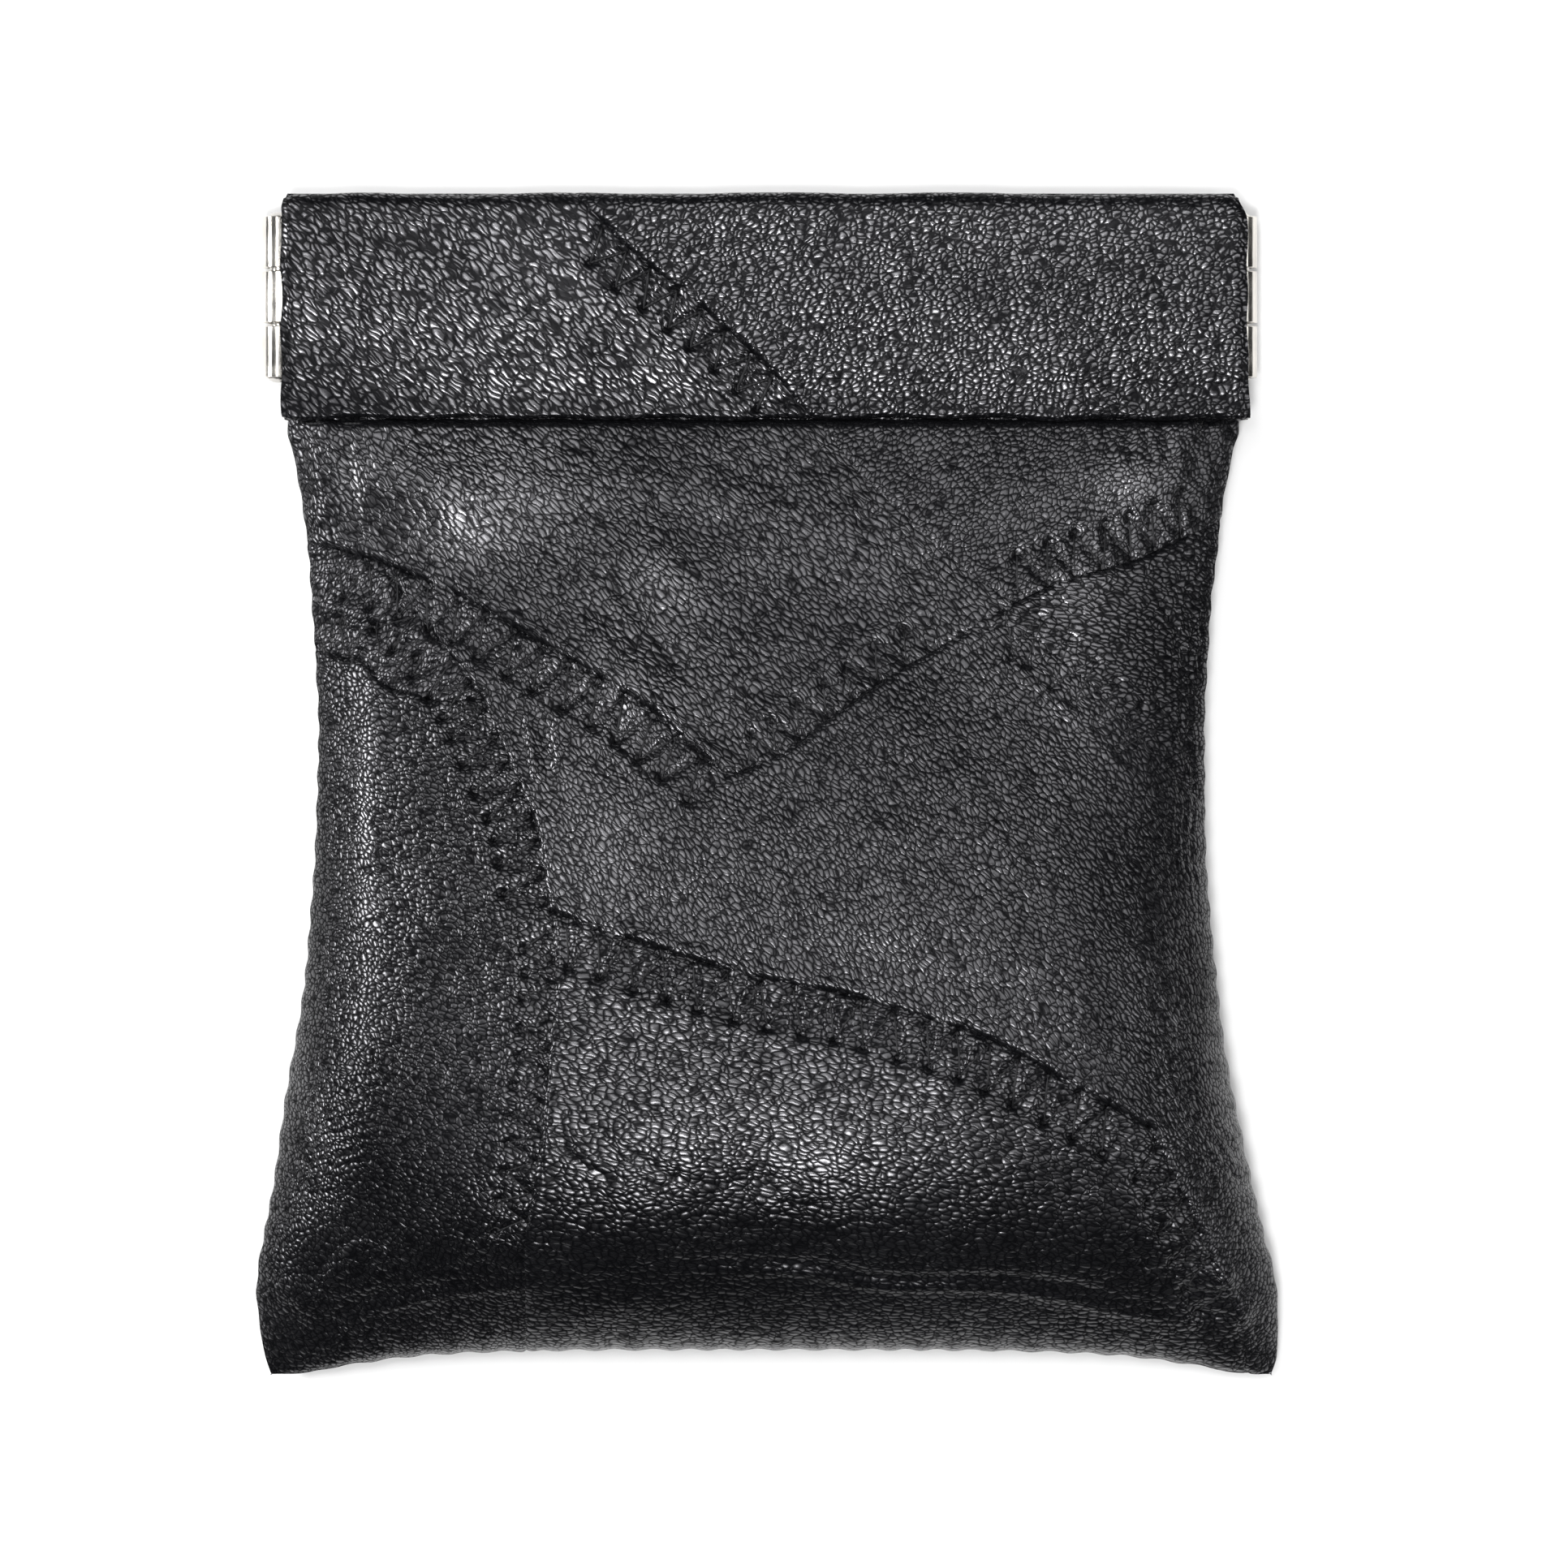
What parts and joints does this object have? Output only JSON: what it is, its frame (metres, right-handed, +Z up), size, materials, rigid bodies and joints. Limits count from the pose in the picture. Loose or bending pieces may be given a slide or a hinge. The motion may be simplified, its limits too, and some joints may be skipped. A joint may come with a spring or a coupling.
{
  "type": "coin wallet",
  "caption": "Squeeze-open patchwork leather coin pouch with a hinged spring-strip mouth frame; pressing the mouth's two ends together bows it open.",
  "frame": {"origin": "on the table under the middle of the purse, which lies on its back", "axes": "+Z up from the back panel to the front panel; +Y from the bottom seam to the mouth; +X to the right with the front seen from above and the mouth at the top"},
  "size_m": [0.0908, 0.1054, 0.0156],
  "materials": {
    "leather": "semi-gloss, fine pebble grain",
    "spring_steel": "nickel plated",
    "pin_steel": "satin",
    "lining_cloth": "plain woven cloth",
    "thread": "twisted thread"
  },
  "bodies": {
    "back_panel": {"back_patch_top": "leather", "back_patch_left": "leather", "back_patch_right": "leather", "back_lining": "lining_cloth", "back_casing_thread": "thread", "back_zigzag_thread": "thread"},
    "side_seams": {"left_side_seam": "leather", "right_side_seam": "leather", "bottom_seam": "leather", "left_seam_thread": "thread", "right_seam_thread": "thread", "bottom_seam_thread": "thread"},
    "front_panel": {"front_patch_top_left": "leather", "front_patch_top_right": "leather", "front_patch_centre": "leather", "front_patch_right": "leather", "front_patch_left": "leather", "front_patch_left_edge": "leather", "front_patch_lower": "leather", "front_patch_corner": "leather", "front_lining": "lining_cloth", "front_casing_thread": "thread", "front_zigzag_thread": "thread"},
    "back_middle": {"back_strip_middle": "spring_steel", "back_casing_middle": "leather"},
    "back_left": {"back_strip_left": "spring_steel", "left_hinge_pin": "pin_steel", "back_casing_left_end": "leather"},
    "back_right": {"back_strip_right": "spring_steel", "right_hinge_pin": "pin_steel", "back_casing_right_end": "leather"},
    "front_left": {"front_strip_left": "spring_steel", "front_casing_left_end": "leather"},
    "front_middle": {"front_strip_middle": "spring_steel", "front_casing_left": "leather", "front_casing_right": "leather", "casing_zigzag_thread": "thread"},
    "front_right": {"front_strip_right": "spring_steel", "front_casing_right_end": "leather"}
  },
  "joints": [
    {"name": "mouth_bend_back_left", "type": "hinge", "parent": "back_middle", "child": "back_left", "pos_m": [-0.0177, 0.0435, 0.00125], "axis": [0, 1, 0], "range_deg": [0, 30], "stiffness_Nm_per_rad": 0.02, "springref_deg": -11.46},
    {"name": "mouth_bend_back_right", "type": "hinge", "parent": "back_middle", "child": "back_right", "pos_m": [0.0163, 0.0435, 0.00125], "axis": [0, -1, 0], "range_deg": [0, 30]},
    {"name": "left_pin_hinge", "type": "hinge", "parent": "back_left", "child": "front_left", "pos_m": [-0.0437, 0.0435, 0.0025], "axis": [0, -1, 0], "range_deg": [0, 60]},
    {"name": "mouth_bend_front_left", "type": "hinge", "parent": "front_left", "child": "front_middle", "pos_m": [-0.0177, 0.0435, 0.00375], "axis": [0, 1, 0], "range_deg": [0, 30]},
    {"name": "mouth_bend_front_right", "type": "hinge", "parent": "front_middle", "child": "front_right", "pos_m": [0.0163, 0.0435, 0.00375], "axis": [0, 1, 0], "range_deg": [0, 30]},
    {"name": "back_casing_tilt", "type": "hinge", "parent": "back_panel", "child": "back_middle", "pos_m": [0, 0.03245, 0.0013], "axis": [1, 0, 0], "range_deg": [0, 8.8]},
    {"name": "sides_swing", "type": "hinge", "parent": "back_panel", "child": "side_seams", "pos_m": [0, -0.052, 0.0025], "axis": [1, 0, 0], "range_deg": [0, 8.8]},
    {"name": "front_swing", "type": "hinge", "parent": "side_seams", "child": "front_panel", "pos_m": [0, -0.052, 0.0025], "axis": [1, 0, 0], "range_deg": [0, 8.8]}
  ],
  "couplings": [
    {"joint": "mouth_bend_back_right", "follows": "mouth_bend_back_left", "ratio": 1},
    {"joint": "left_pin_hinge", "follows": "mouth_bend_back_left", "ratio": 2},
    {"joint": "mouth_bend_front_left", "follows": "mouth_bend_back_left", "ratio": 1},
    {"joint": "mouth_bend_front_right", "follows": "mouth_bend_back_left", "ratio": 1},
    {"joint": "back_casing_tilt", "follows": "mouth_bend_back_left", "ratio": 0.2908},
    {"joint": "sides_swing", "follows": "mouth_bend_back_left", "ratio": 0.2908},
    {"joint": "front_swing", "follows": "mouth_bend_back_left", "ratio": 0.2908}
  ]
}
